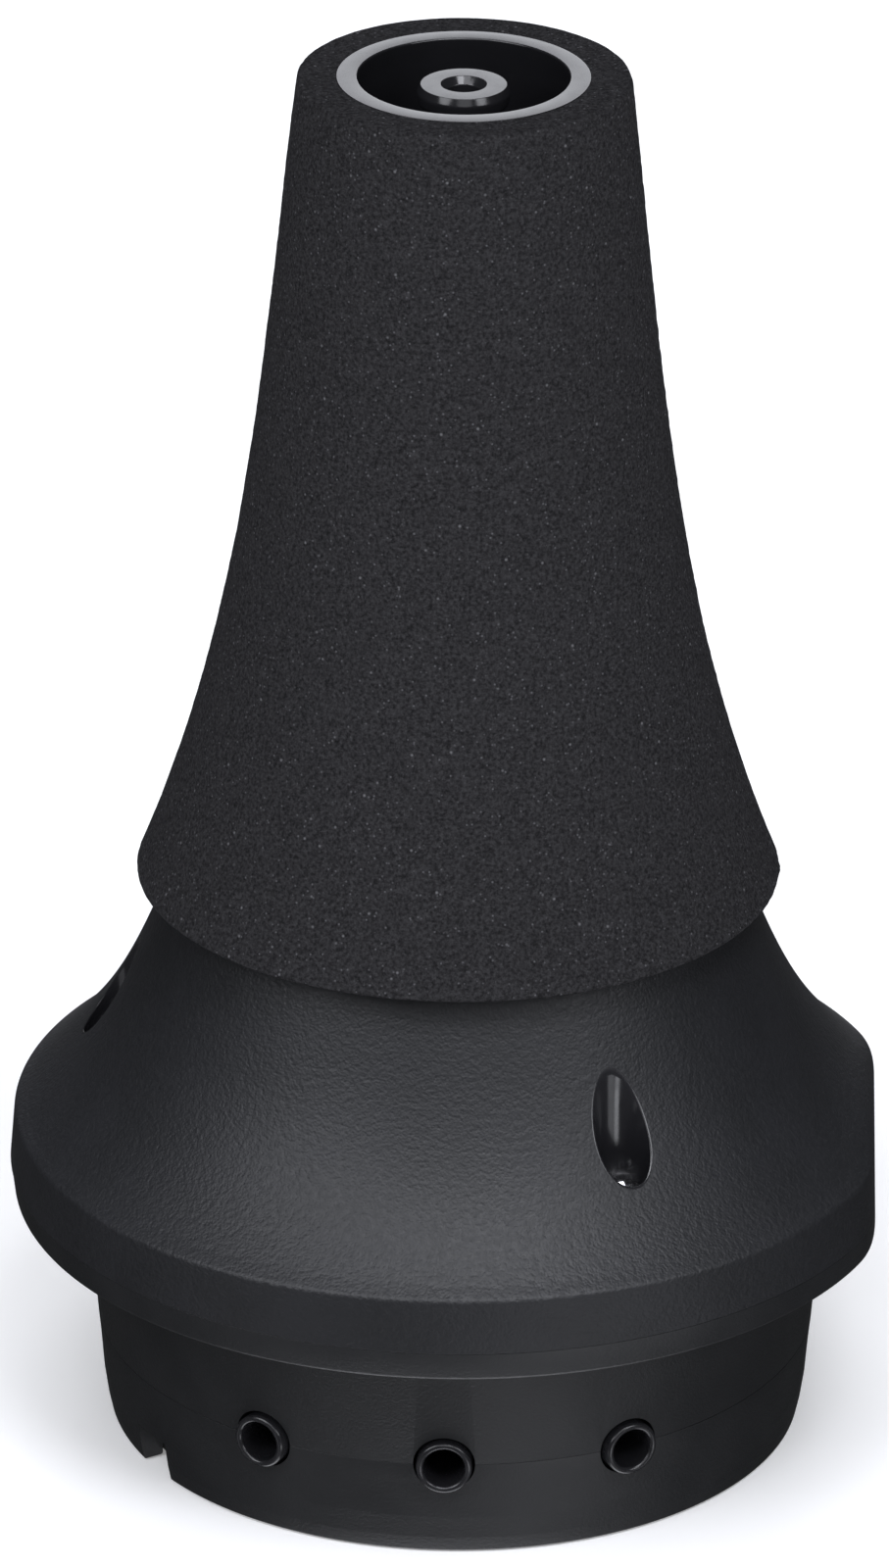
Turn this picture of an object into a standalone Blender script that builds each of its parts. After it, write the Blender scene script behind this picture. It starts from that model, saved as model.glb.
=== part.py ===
"""Practice mute for a trumpet: a flared plastic body with a foam sleeve, standing on its base.

The frame is the centre of the base's resting face, +Z up through the neck. Lengths in this file are
millimetres until the last step, where MM turns them into metres. Azimuths are degrees from -Y (the
front, where the middle vent tube is) towards +X.
"""

import math

import bmesh
import bpy

MM = 0.001

# Overall
TOP_Z = 139.6
SPLIT_Z = 26.3  # where the bell shell sits on the lower casing's flange
SEAM = 0.25
PARTING_Z = 10.0  # where the base ring meets the lower casing, on the vent tubes' axes
HAIRLINE = 0.12

# Foam sleeve: its outline is one cubic through these (z, radius) points
SLEEVE_OUTLINE = ((58.0, 31.2), (75.0, 25.5), (100.0, 20.4), (138.0, 16.0))
SLEEVE_BOTTOM_Z = 57.4
SLEEVE_EDGE = 0.4
SLEEVE_RADIAL_THICKNESS = 3.75
GLUE_GAP = 0.2

# Bell shell
FLARE_OUTLINE = ((32.0, 43.0), (40.0, 35.8), (48.0, 31.39), (56.0, 28.02))
FLARE_TOP_Z = 59.0
SHELL_WALL = 2.0
BAND_TOP = (43.68, 31.0)
BAND_BOTTOM = (43.92, SPLIT_Z + SEAM)
REGISTER_BORE = 38.9
REGISTER_TOP_Z = 31.5

# Flat against rolling, on the +X side, with a little draft
FLAT_X = 41.42
FLAT_Z = 22.0
FLAT_DRAFT = math.radians(1.6)

# Screws and their pockets
SCREW_AZIMUTHS = (29.4, 149.4, 269.4)
SCREW_CIRCLE = 34.06
POCKET_RADIUS = 2.95
POCKET_FLOOR_Z = 35.6
POCKET_BOSS_RADIUS = 3.95
POCKET_BOSS_BOTTOM_Z = 33.5
SHANK_HOLE_RADIUS = 1.7
SCREW_HEAD_RADIUS = 2.4
SCREW_HEAD_HEIGHT = 1.9
SCREW_SHANK_RADIUS = 1.25
SCREW_BOTTOM_Z = 25.3
SCREW_SEAT_GAP = 0.1
CROSS_WIDTH = 0.75
CROSS_LENGTH = 2.7
CROSS_DEPTH = 1.1

# Lower casing
FLANGE_RADIUS = 43.85
FLANGE_BOTTOM_Z = 23.35
WALL_TOP_RADIUS = 36.45
WALL_PARTING_RADIUS = 35.38
CASING_BORE = 33.3
SPIGOT_RADIUS = 38.4
SPIGOT_TOP_Z = 29.5
SPIGOT_WALL = 2.2
GASKET_GROOVE = (27.3, 28.9, 37.2)  # bottom z, top z, floor radius
CASING_BOSS_RADIUS = 3.2
CASING_BOSS_TOP_Z = 33.2
PILOT_HOLE_RADIUS = 1.5
PILOT_HOLE_BOTTOM_Z = 24.7

# Base ring and end plate
FOOT_OUTLINE = ((33.7, 0.0), (34.15, 0.12), (34.4, 0.5), (34.52, 1.4), (34.77, 3.6), (35.15, 7.8))
LIP_OUTER = 33.0
LIP_INNER = 31.6
LIP_TOP_Z = 14.0
RIM_BORE = 32.1
LEDGE_BOTTOM_Z = 2.8
LEDGE_TOP_Z = 5.8
LEDGE_BORE = 29.3
PLATE_RADIUS = 31.8
PLATE_THICKNESS = 2.5
PLATE_CHAMFER = 0.4
PLUG_OUTER = 29.0
PLUG_INNER = 26.8
PLUG_TOP_Z = 5.5
SEAL_GROOVE = (3.4, 4.6, 28.0)  # bottom z, top z, floor radius
NOTCH_AZIMUTH = -57.0
NOTCH_WIDTH = 5.2
NOTCH_HEIGHT = 4.1
NOTCH_INNER = 31.5

# Vent tubes
VENT_AZIMUTHS = {"left": -30.0, "centre": 0.0, "right": 30.0}
VENT_OUTER_RADIUS = 2.75
VENT_BORE_RADIUS = 2.0
VENT_HOLE_RADIUS = 3.0
VENT_INNER_END = 22.0
VENT_OUTER_END = 36.3
VENT_LIP = 0.25
VENT_SEAL_PLACE = 30.4
VENT_SEAL_MAJOR = 3.4
VENT_SEAL_SECTION = 0.5

# Central tube and baffle
TUBE_RADIUS = 3.2
TUBE_BORE = 1.6
TUBE_MOUTH = (2.18, 0.7)  # radius and depth of the countersink
TUBE_HEAD_OUTLINE = (  # radius, depth below the top
    (3.2, 2.2),
    (3.9, 2.1),
    (4.4, 1.7),
    (4.57, 1.25),
    (4.6, 0.8),
    (4.48, 0.35),
    (4.15, 0.0),
)
TUBE_TOP_Z = 138.8
TUBE_BOTTOM_Z = 16.0
BAFFLE_RADIUS = 38.4
BAFFLE_BOTTOM_Z = 29.8
BAFFLE_TOP_Z = 31.3
HUB_RADIUS = 5.6
HUB_BORE = 3.5
HUB_BOTTOM_Z = 23.0
HUB_TOP_Z = 38.0
BAFFLE_BOSS_HOLE = 3.55
BLEED_HOLE_RADIUS = 1.5
BLEED_CIRCLE = 20.0
BLEED_COUNT = 6

# Sound absorbers and round seals
ABSORBER_BORE = 6.0
UPPER_ABSORBER = (28.8, 31.6, 38.4)  # radius, bottom z, top z
LOWER_ABSORBER = (29.9, 22.6, 29.5)
GASKET_MAJOR = 38.1
GASKET_SECTION = 0.65
PLATE_SEAL_MAJOR = 28.65
PLATE_SEAL_SECTION = 0.45

BODY_SEGMENTS = 56
INNER_SEGMENTS = 40
SMALL_SEGMENTS = 18
SHARP_ANGLE = math.radians(32)


def clear_scene():
    for obj in list(bpy.data.objects):
        bpy.data.objects.remove(obj)


def finish(name, colour, roughness, metallic=0.0):
    """A Principled BSDF material."""
    material = bpy.data.materials.new(name)
    material.use_nodes = True
    shader = material.node_tree.nodes["Principled BSDF"]
    shader.inputs["Base Color"].default_value = (*colour, 1.0)
    shader.inputs["Roughness"].default_value = roughness
    shader.inputs["Metallic"].default_value = metallic
    return material


def cubic_through(points, z):
    """The radius at height z on the one cubic that passes through four (z, radius) points."""
    total = 0.0
    for i, (z_i, radius) in enumerate(points):
        weight = 1.0
        for j, (z_j, _) in enumerate(points):
            if i != j:
                weight *= (z - z_j) / (z_i - z_j)
        total += weight * radius
    return total


def shell_radius(z):
    """The bell shell's outer radius: the foam's inner side above, the bare flare below."""
    if z >= FLARE_TOP_Z:
        return cubic_through(SLEEVE_OUTLINE, z) - SLEEVE_RADIAL_THICKNESS
    return cubic_through(FLARE_OUTLINE, z)


def shell_inner_radius(z):
    """The shell's inner radius, one wall thickness inside, measured square to the wall."""
    slope = (shell_radius(z + 0.5) - shell_radius(z - 0.5)) / 1.0
    return shell_radius(z) - SHELL_WALL * math.hypot(1.0, slope)


def steps(first, last, count):
    """Evenly spaced values from first to last, both included."""
    return [first + (last - first) * i / (count - 1) for i in range(count)]


def arc(centre, radius, start, end, count):
    """Points (r, z) on a circular arc, with angles in degrees from the +r direction towards +z."""
    angles = [math.radians(a) for a in steps(start, end, count)]
    return [(centre[0] + radius * math.cos(a), centre[1] + radius * math.sin(a)) for a in angles]


def new_object(name, mesh_data, material):
    mesh = bpy.data.meshes.new(name)
    mesh_data.to_mesh(mesh)
    mesh_data.free()
    mesh.shade_smooth()
    mesh.set_sharp_from_angle(angle=SHARP_ANGLE)
    mesh.materials.append(material)
    obj = bpy.data.objects.new(name, mesh)
    bpy.context.scene.collection.objects.link(obj)
    return obj


def turned(name, outline, material, segments=BODY_SEGMENTS):
    """A solid turned about Z from a closed outline of (radius, z) points in millimetres."""
    shape = bmesh.new()
    corners = [shape.verts.new((radius * MM, 0.0, z * MM)) for radius, z in outline]
    edges = [shape.edges.new((a, b)) for a, b in zip(corners, corners[1:] + corners[:1])]
    bmesh.ops.spin(
        shape,
        geom=corners + edges,
        cent=(0.0, 0.0, 0.0),
        axis=(0.0, 0.0, 1.0),
        angle=math.tau,
        steps=segments,
        use_merge=True,
    )
    on_axis = [v for v in shape.verts if math.hypot(v.co.x, v.co.y) < 1e-7]
    bmesh.ops.remove_doubles(shape, verts=on_axis, dist=1e-7)
    bmesh.ops.delete(shape, geom=[e for e in shape.edges if not e.link_faces], context="EDGES")
    bmesh.ops.recalc_face_normals(shape, faces=shape.faces)
    return new_object(name, shape, material)


def ring(name, major, section, z, material, segments=INNER_SEGMENTS, sides=6):
    """An O-ring lying flat at height z."""
    outline = arc((major, z), section, 0, 360 - 360 / sides, sides)
    return turned(name, outline, material, segments)


def polar(radius, azimuth, z):
    """The world point at this radius and azimuth, in metres."""
    angle = math.radians(azimuth)
    return (radius * math.sin(angle) * MM, -radius * math.cos(angle) * MM, z * MM)


def lay_radially(obj, azimuth, z):
    """Turns a piece made along +Z so that it points outwards from the axis at height z."""
    obj.rotation_euler = (math.radians(90), 0.0, math.radians(azimuth))
    obj.location = (0.0, 0.0, z * MM)


def hide_as_tool(obj):
    obj.hide_render = True
    obj.display_type = "WIRE"
    return obj


def post(name, radius, bottom, top, material, segments=SMALL_SEGMENTS):
    """A plain upright cylinder, used to cut with or to join on."""
    shape = bmesh.new()
    bmesh.ops.create_cone(
        shape,
        cap_ends=True,
        segments=segments,
        radius1=radius * MM,
        radius2=radius * MM,
        depth=(top - bottom) * MM,
    )
    bmesh.ops.translate(shape, verts=shape.verts, vec=(0.0, 0.0, (top + bottom) / 2 * MM))
    return new_object(name, shape, material)


def block(name, low, high, material):
    """A box between two corners, in millimetres."""
    shape = bmesh.new()
    bmesh.ops.create_cube(shape, size=1.0)
    for vert in shape.verts:
        vert.co = [(a + (b - a) * (c + 0.5)) * MM for a, b, c in zip(low, high, vert.co)]
    return new_object(name, shape, material)


def combine(target, tool, operation):
    """Cuts the tool from the target, or joins it on, and hides the tool."""
    modifier = target.modifiers.new(tool.name, "BOOLEAN")
    modifier.operation = operation
    modifier.solver = "EXACT"
    modifier.object = hide_as_tool(tool)


def cut(target, tool):
    combine(target, tool, "DIFFERENCE")


def join(target, tool):
    combine(target, tool, "UNION")


def flat_tool(name, material):
    """The slab that cuts the flat: its face leans in towards the top by the draft."""
    slab = block(name, (0.0, -30.0, -10.0), (20.0, 30.0, 20.0), material)
    slab.location = (FLAT_X * MM, 0.0, FLAT_Z * MM)
    slab.rotation_euler = (0.0, -FLAT_DRAFT, 0.0)
    return slab


def foam_sleeve(material):
    bottom, top = SLEEVE_BOTTOM_Z, TOP_Z
    bottom_radius = cubic_through(SLEEVE_OUTLINE, bottom)
    top_radius = cubic_through(SLEEVE_OUTLINE, top)
    bottom_edge = [(bottom_radius - SLEEVE_EDGE, bottom)]
    side = [(cubic_through(SLEEVE_OUTLINE, z), z) for z in steps(bottom + SLEEVE_EDGE, top - SLEEVE_EDGE, 8)]
    top_edge = [(top_radius - SLEEVE_EDGE, top)]
    inner = [(shell_radius(z) + GLUE_GAP, z) for z in steps(top, bottom, 7)]
    return turned("foam_sleeve", bottom_edge + side + top_edge + inner, material)


def bell_shell(material):
    neck_top = [(shell_radius(TOP_Z), TOP_Z)]
    neck = [(shell_radius(z), z) for z in steps(125, FLARE_TOP_Z, 6)]
    flare = [(shell_radius(z), z) for z in (55.0, 50.5, 46.5, 42.7, 39.5, 36.8, 34.4, 32.2)]
    edge = [(43.35, 31.75), BAND_TOP]
    floor = [BAND_BOTTOM, (0.0, BAND_BOTTOM[1]), (0.0, TOP_Z)]
    shell = turned("bell_shell", neck_top + neck + flare + edge + floor, material)

    register = [(REGISTER_BORE, SPLIT_Z - 5.0), (REGISTER_BORE, REGISTER_TOP_Z)]
    inside = [(shell_inner_radius(z), z) for z in (34.0, 37.0, 41.5, 47.5, 55.0, 66.0, 82.0, 103.0)]
    mouth_radius = shell_inner_radius(TOP_Z)
    mouth = [(shell_inner_radius(125.0), 125.0), (mouth_radius, TOP_Z), (mouth_radius, TOP_Z + 5.0)]
    ends = [(0.0, TOP_Z + 5.0), (0.0, SPLIT_Z - 5.0)]
    cavity = turned("shell_cavity", register + inside + mouth + ends, material)
    for azimuth in SCREW_AZIMUTHS:
        label = f"{azimuth:.0f}"
        keep = post("pocket_boss_" + label, POCKET_BOSS_RADIUS, POCKET_BOSS_BOTTOM_Z, 60.0, material)
        keep.location = polar(SCREW_CIRCLE, azimuth, 0.0)
        cut(cavity, keep)
    cut(shell, cavity)
    stepped_hole = (
        (0.0, 30.0),
        (SHANK_HOLE_RADIUS, 30.0),
        (SHANK_HOLE_RADIUS, POCKET_FLOOR_Z),
        (POCKET_RADIUS, POCKET_FLOOR_Z),
        (POCKET_RADIUS, 62.0),
        (0.0, 62.0),
    )
    for azimuth in SCREW_AZIMUTHS:
        pocket = turned(f"pocket_{azimuth:.0f}", stepped_hole, material, SMALL_SEGMENTS)
        pocket.location = polar(SCREW_CIRCLE, azimuth, 0.0)
        cut(shell, pocket)
    cut(shell, flat_tool("shell_flat", material))
    return shell


def case_screw(name, azimuth, material):
    """A pan-head screw with a cross recess, standing in its pocket."""
    seat = POCKET_FLOOR_Z + SCREW_SEAT_GAP
    top = seat + SCREW_HEAD_HEIGHT
    crown = [(SCREW_HEAD_RADIUS, top - 1.0), (SCREW_HEAD_RADIUS * 0.8, top - 0.25), (0.0, top)]
    radius = SCREW_SHANK_RADIUS
    shank = [(0.0, SCREW_BOTTOM_Z - 0.8), (radius, SCREW_BOTTOM_Z + 0.4), (radius, seat)]
    screw = turned(name, shank + [(SCREW_HEAD_RADIUS, seat)] + crown, material, 16)
    screw.location = polar(SCREW_CIRCLE, azimuth, 0.0)
    screw.rotation_euler = (0.0, 0.0, math.radians(azimuth + 20))
    for turn, label in ((0, "a"), (90, "b")):
        low = (-CROSS_LENGTH / 2, -CROSS_WIDTH / 2, top - CROSS_DEPTH)
        high = (CROSS_LENGTH / 2, CROSS_WIDTH / 2, top + 1.0)
        slot = block(f"{name}_cross_{label}", low, high, material)
        slot.location = screw.location
        slot.rotation_euler = (0.0, 0.0, math.radians(azimuth + 20 + turn))
        cut(screw, slot)
    return screw


def vent_hole_tools(prefix, material):
    """One clearance hole for each vent tube, pointing outwards on the parting plane."""
    tools = []
    for side, azimuth in VENT_AZIMUTHS.items():
        tool = post(f"{prefix}_hole_{side}", VENT_HOLE_RADIUS, 27.0, 45.0, material, 16)
        lay_radially(tool, azimuth, PARTING_Z)
        tools.append(tool)
    return tools


def lower_casing(material):
    wall_bottom = PARTING_Z + HAIRLINE / 2
    groove_bottom, groove_top, groove_floor = GASKET_GROOVE
    outline = [
        (WALL_PARTING_RADIUS, wall_bottom),
        (WALL_TOP_RADIUS, FLANGE_BOTTOM_Z),
        (FLANGE_RADIUS - 0.95, FLANGE_BOTTOM_Z),
        (FLANGE_RADIUS - 0.4, FLANGE_BOTTOM_Z + 0.45),
        (FLANGE_RADIUS, SPLIT_Z - 0.2),
        (FLANGE_RADIUS - 0.15, SPLIT_Z),
        (SPIGOT_RADIUS, SPLIT_Z),
        (SPIGOT_RADIUS, groove_bottom),
        (groove_floor, groove_bottom),
        (groove_floor, groove_top),
        (SPIGOT_RADIUS, groove_top),
        (SPIGOT_RADIUS, SPIGOT_TOP_Z),
        (SPIGOT_RADIUS - SPIGOT_WALL, SPIGOT_TOP_Z),
        (SPIGOT_RADIUS - SPIGOT_WALL, SPLIT_Z),
        (CASING_BORE, SPLIT_Z),
        (CASING_BORE, wall_bottom),
    ]
    casing = turned("lower_casing", outline, material)
    for azimuth in SCREW_AZIMUTHS:
        label = f"{azimuth:.0f}"
        place = polar(SCREW_CIRCLE, azimuth, 0.0)
        bottom = FLANGE_BOTTOM_Z + 0.5
        boss = post("casing_boss_" + label, CASING_BOSS_RADIUS, bottom, CASING_BOSS_TOP_Z, material)
        boss.location = place
        join(casing, boss)
        pilot = post("pilot_hole_" + label, PILOT_HOLE_RADIUS, PILOT_HOLE_BOTTOM_Z, 40.0, material, 16)
        pilot.location = place
        cut(casing, pilot)
    for tool in vent_hole_tools("casing", material):
        cut(casing, tool)
    cut(casing, flat_tool("flange_flat", material))
    return casing


def base_ring(material):
    top = PARTING_Z - HAIRLINE / 2
    outline = list(FOOT_OUTLINE) + [
        (WALL_PARTING_RADIUS, top),
        (LIP_OUTER, top),
        (LIP_OUTER, LIP_TOP_Z),
        (LIP_INNER, LIP_TOP_Z),
        (LIP_INNER, LEDGE_TOP_Z),
        (LEDGE_BORE, LEDGE_TOP_Z),
        (LEDGE_BORE, LEDGE_BOTTOM_Z),
        (RIM_BORE, LEDGE_BOTTOM_Z),
        (RIM_BORE, 0.0),
    ]
    base = turned("base_ring", outline, material)
    for tool in vent_hole_tools("base", material):
        cut(base, tool)
    low = (-NOTCH_WIDTH / 2, -45.0, -5.0)
    high = (NOTCH_WIDTH / 2, -NOTCH_INNER, NOTCH_HEIGHT)
    notch = block("pry_notch", low, high, material)
    notch.rotation_euler = (0.0, 0.0, math.radians(NOTCH_AZIMUTH))
    cut(base, notch)
    return base


def end_plate(material):
    """The push-in plate that closes the base, with a seal groove round its plug."""
    groove_bottom, groove_top, groove_floor = SEAL_GROOVE
    outline = [
        (0.0, 0.0),
        (PLATE_RADIUS - PLATE_CHAMFER, 0.0),
        (PLATE_RADIUS, PLATE_CHAMFER),
        (PLATE_RADIUS, PLATE_THICKNESS),
        (PLUG_OUTER, PLATE_THICKNESS),
        (PLUG_OUTER, groove_bottom),
        (groove_floor, groove_bottom),
        (groove_floor, groove_top),
        (PLUG_OUTER, groove_top),
        (PLUG_OUTER, PLUG_TOP_Z - 0.3),
        (PLUG_OUTER - 0.3, PLUG_TOP_Z),
        (PLUG_INNER, PLUG_TOP_Z),
        (PLUG_INNER, PLATE_THICKNESS),
        (0.0, PLATE_THICKNESS),
    ]
    return turned("end_plate", outline, material, INNER_SEGMENTS)


def vent_tube(side, azimuth, material):
    """One vent tube: both ends are rounded over, and the outer end stands proud of the wall."""
    outer, bore, lip = VENT_OUTER_RADIUS, VENT_BORE_RADIUS, VENT_LIP
    outline = [
        (bore, VENT_INNER_END),
        (outer - lip, VENT_INNER_END),
        (outer, VENT_INNER_END + lip),
        (outer, VENT_OUTER_END - lip),
        (outer - lip, VENT_OUTER_END),
        (bore + lip, VENT_OUTER_END),
        (bore, VENT_OUTER_END - lip),
    ]
    tube = turned("vent_tube_" + side, outline, material, SMALL_SEGMENTS)
    lay_radially(tube, azimuth, PARTING_Z)
    return tube


def vent_seal(side, azimuth, material):
    """The soft ring round a vent tube, behind the wall."""
    seal = ring(
        "vent_seal_" + side, VENT_SEAL_MAJOR, VENT_SEAL_SECTION, VENT_SEAL_PLACE, material, SMALL_SEGMENTS
    )
    lay_radially(seal, azimuth, PARTING_Z)
    return seal


def central_tube(material):
    """The tube with its head: a flat top, a bulging side and a countersunk mouth."""
    mouth_radius, mouth_depth = TUBE_MOUTH
    outline = [
        (TUBE_BORE, TUBE_BOTTOM_Z),
        (TUBE_RADIUS, TUBE_BOTTOM_Z),
        *[(radius, TUBE_TOP_Z - depth) for radius, depth in TUBE_HEAD_OUTLINE],
        (mouth_radius, TUBE_TOP_Z),
        (TUBE_BORE, TUBE_TOP_Z - mouth_depth),
    ]
    return turned("central_tube", outline, material, 24)


def inner_baffle(material):
    """The plate between the two chambers, with the hub that grips the central tube."""
    outline = [
        (HUB_BORE, HUB_BOTTOM_Z),
        (HUB_RADIUS, HUB_BOTTOM_Z),
        (HUB_RADIUS, BAFFLE_BOTTOM_Z),
        (BAFFLE_RADIUS, BAFFLE_BOTTOM_Z),
        (BAFFLE_RADIUS, BAFFLE_TOP_Z),
        (HUB_RADIUS, BAFFLE_TOP_Z),
        (HUB_RADIUS, HUB_TOP_Z),
        (HUB_BORE, HUB_TOP_Z),
    ]
    baffle = turned("inner_baffle", outline, material, INNER_SEGMENTS)
    for azimuth in SCREW_AZIMUTHS:
        hole = post(f"baffle_boss_hole_{azimuth:.0f}", BAFFLE_BOSS_HOLE, 20.0, 45.0, material)
        hole.location = polar(SCREW_CIRCLE, azimuth, 0.0)
        cut(baffle, hole)
    for i in range(BLEED_COUNT):
        hole = post(f"bleed_hole_{i + 1}", BLEED_HOLE_RADIUS, 20.0, 45.0, material, 12)
        hole.location = polar(BLEED_CIRCLE, 360 * i / BLEED_COUNT, 0.0)
        cut(baffle, hole)
    return baffle


def absorber(name, size, material):
    """A flat ring of open-cell foam."""
    radius, bottom, top = size
    outline = ((ABSORBER_BORE, bottom), (radius, bottom), (radius, top), (ABSORBER_BORE, top))
    return turned(name, outline, material, INNER_SEGMENTS)


def main():
    clear_scene()
    casing_black = finish("casing_black", (0.022, 0.023, 0.026), 0.5)
    gloss_black = finish("gloss_black", (0.012, 0.012, 0.014), 0.12)
    foam_charcoal = finish("foam_charcoal", (0.035, 0.035, 0.037), 0.95)
    absorber_grey = finish("absorber_grey", (0.10, 0.10, 0.105), 1.0)
    rubber_black = finish("rubber_black", (0.015, 0.015, 0.015), 0.7)
    screw_steel = finish("screw_steel", (0.62, 0.62, 0.64), 0.25, 1.0)

    foam_sleeve(foam_charcoal)
    bell_shell(casing_black)
    lower_casing(casing_black)
    base_ring(casing_black)
    end_plate(casing_black)
    central_tube(gloss_black)
    inner_baffle(casing_black)
    for side, azimuth in VENT_AZIMUTHS.items():
        vent_tube(side, azimuth, gloss_black)
        vent_seal(side, azimuth, rubber_black)
    for number, azimuth in enumerate(SCREW_AZIMUTHS, start=1):
        case_screw(f"case_screw_{number}", azimuth, screw_steel)
    absorber("upper_absorber", UPPER_ABSORBER, absorber_grey)
    absorber("lower_absorber", LOWER_ABSORBER, absorber_grey)
    gasket_z = (GASKET_GROOVE[0] + GASKET_GROOVE[1]) / 2
    ring("case_gasket", GASKET_MAJOR, GASKET_SECTION, gasket_z, rubber_black)
    seal_z = (SEAL_GROOVE[0] + SEAL_GROOVE[1]) / 2
    ring("end_plate_seal", PLATE_SEAL_MAJOR, PLATE_SEAL_SECTION, seal_z, rubber_black)


main()
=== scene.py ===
"""The looks of a trumpet practice mute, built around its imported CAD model.

Radii and heights in this file are millimetres unless a comment says otherwise, and MM turns them
into metres where a mesh is made. Azimuths are degrees from -Y (the side with the middle vent tube)
towards +X.
"""

import math

import bmesh
import bpy
import numpy as np
from mathutils import Matrix, Vector, noise


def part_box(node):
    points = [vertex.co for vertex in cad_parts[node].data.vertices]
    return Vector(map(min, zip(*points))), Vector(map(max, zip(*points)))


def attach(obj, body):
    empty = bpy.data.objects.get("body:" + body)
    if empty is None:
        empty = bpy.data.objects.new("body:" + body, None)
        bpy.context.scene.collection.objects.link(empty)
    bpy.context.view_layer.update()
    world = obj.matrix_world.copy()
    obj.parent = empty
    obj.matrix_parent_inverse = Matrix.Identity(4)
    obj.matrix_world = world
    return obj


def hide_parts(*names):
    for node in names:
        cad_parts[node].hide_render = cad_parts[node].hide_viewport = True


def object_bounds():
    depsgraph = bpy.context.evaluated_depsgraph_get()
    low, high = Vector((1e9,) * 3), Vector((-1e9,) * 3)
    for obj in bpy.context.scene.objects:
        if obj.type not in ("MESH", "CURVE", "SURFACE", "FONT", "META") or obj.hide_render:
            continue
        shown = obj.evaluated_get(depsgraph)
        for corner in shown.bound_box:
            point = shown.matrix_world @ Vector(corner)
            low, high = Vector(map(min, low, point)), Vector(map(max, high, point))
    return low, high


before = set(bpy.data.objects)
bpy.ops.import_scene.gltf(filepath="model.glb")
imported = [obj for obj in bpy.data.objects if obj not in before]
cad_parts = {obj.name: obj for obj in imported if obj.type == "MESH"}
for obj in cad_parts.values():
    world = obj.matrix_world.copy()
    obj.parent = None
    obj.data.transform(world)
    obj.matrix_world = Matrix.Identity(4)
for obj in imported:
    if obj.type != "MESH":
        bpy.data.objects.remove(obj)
cad_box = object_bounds()

MM = 0.001
CASING = "casing"
PLATE = "end_plate"


def top_of(node):
    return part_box(node)[1].z / MM


def bottom_of(node):
    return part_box(node)[0].z / MM


def half_width_of(node):
    """The node's radius, from its size along Y, which the flat doesn't touch."""
    low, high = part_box(node)
    return (high.y - low.y) / 2 / MM


# Heights and radii that the CAD parts give
TOP_Z = top_of("bell_shell")
SKIRT_RADIUS = half_width_of("bell_shell")
SLEEVE_BOTTOM_Z = bottom_of("foam_sleeve")
SLEEVE_TOP_Z = top_of("foam_sleeve")
TUBE_TOP_Z = top_of("central_tube")
TUBE_BOTTOM_Z = bottom_of("central_tube")
TUBE_HEAD_RADIUS = half_width_of("central_tube")
PARTING_Z = (top_of("vent_tube_centre") + bottom_of("vent_tube_centre")) / 2
VENT_OUTER_RADIUS = (top_of("vent_tube_centre") - bottom_of("vent_tube_centre")) / 2
VENT_OUTER_END = -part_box("vent_tube_centre")[0].y / MM
VENT_INNER_END = -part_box("vent_tube_centre")[1].y / MM
PLATE_RADIUS = half_width_of("end_plate")
PLUG_TOP_Z = top_of("end_plate")
SCREW_TOP_Z = top_of("case_screw_1")
SCREW_BOTTOM_Z = bottom_of("case_screw_1")

# Outlines, as in the CAD: one cubic through four (z, radius) points each
SLEEVE_OUTLINE = ((58.0, 31.2), (75.0, 25.5), (100.0, 20.4), (138.0, 16.0))
FLARE_OUTLINE = ((32.0, 43.0), (40.0, 35.8), (48.0, 31.39), (56.0, 28.02))
FLARE_TOP_Z = 59.0  # the sleeve's outline takes over here
SLEEVE_RADIAL_THICKNESS = 3.75

# Bell shell
SHELL_WALL = 2.0
WALL_BOTTOM_Z = 34.0  # the inside widens to the register's bore below this
REGISTER_BORE = 38.9
REGISTER_TOP_Z = 31.5
SKIRT_CORNER = (43.48, 31.75, 0.8)  # radius, height and fillet
SKIRT_BOTTOM_INNER_RADIUS = 42.6
MOUTH_DEPTH = 1.2  # the rounded part of the neck's mouth

# Seams: where the skirt meets the lip, and how wide each seam is drawn
SPLIT_Z = 26.3
SEAM = 0.06
HAIRLINE = 0.04

# The flat on the +X side
FLAT_X = 41.42
FLAT_Z = 22.0
FLAT_DRAFT = math.radians(1.6)
FLAT_EDGE = 1.6
FLAT_INNER_RADIUS = 39.3  # nothing inside this, or above FLAT_TOP_Z, is pressed
FLAT_TOP_Z = 38.0

# Screws and their pockets
SCREW_AZIMUTHS = (29.4, 149.4, 269.4)
SCREW_CIRCLE = 34.06
POCKET_FLOOR_RADIUS = 2.56
POCKET_DRAFT = 0.02
POCKET_FLOOR_Z = 35.6
POCKET_RIM = 0.25
POCKET_BOSS_RADIUS = 3.95
POCKET_BOSS_BOTTOM_Z = 33.5
POCKET_HOLE_Z = (36.4, 50.6)  # the flare's rows between these are open round a pocket
POCKET_HOLE_INNER_Z = (32.6, 49.0)
POCKET_HOLE_HALF_WIDTH = 8  # degrees, which are the shell's columns
SHANK_HOLE_RADIUS = 1.7

VENT_AZIMUTHS = {"left": -30, "centre": 0, "right": 30}
VENT_BORE_RADIUS = 2.0
VENT_HOLE_RADIUS = 3.0
VENT_HOLE_REACH = (27.0, 45.0)  # from the axis
VENT_LIP = 0.36

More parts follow.
